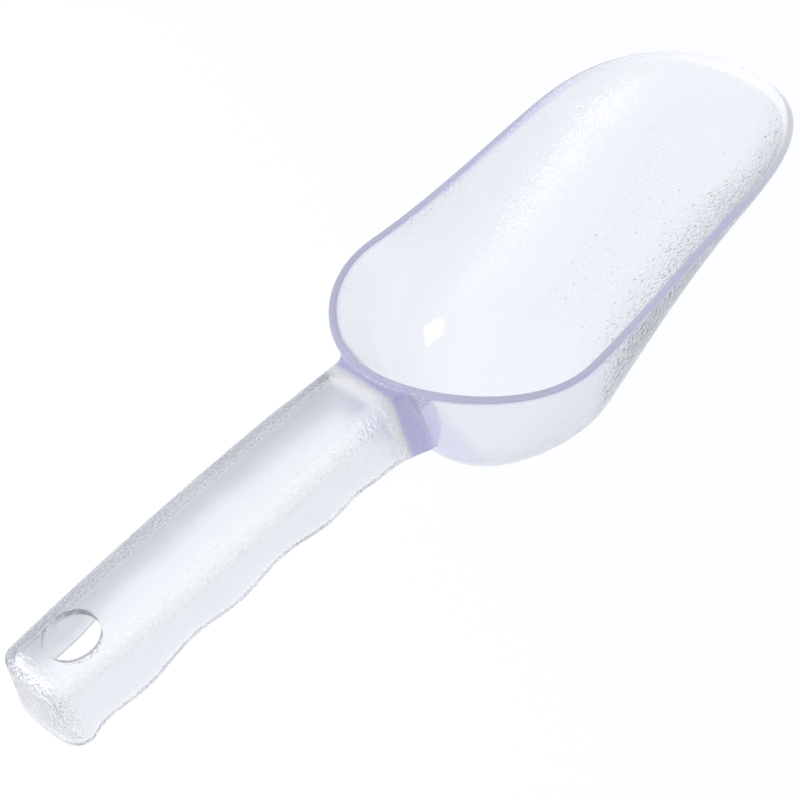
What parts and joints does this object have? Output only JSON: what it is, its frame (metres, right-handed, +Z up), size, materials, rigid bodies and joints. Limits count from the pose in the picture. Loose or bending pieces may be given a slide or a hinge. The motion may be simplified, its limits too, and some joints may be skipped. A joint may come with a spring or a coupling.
{
  "type": "ice scoop",
  "caption": "Small clear polycarbonate ice scoop, moulded in one piece, with a notched channel handle and a hang hole.",
  "frame": {"origin": "on the floor the bowl stands on, under the middle of the scoop's bounding box", "axes": "+X from the handle towards the bowl's lip, +Y to the left, +Z up out of the bowl's mouth"},
  "size_m": [0.2225, 0.0698, 0.0831],
  "materials": {
    "clear_polycarbonate": "gloss"
  },
  "bodies": {
    "root": {"scoop_body": "clear_polycarbonate"}
  },
  "joints": []
}
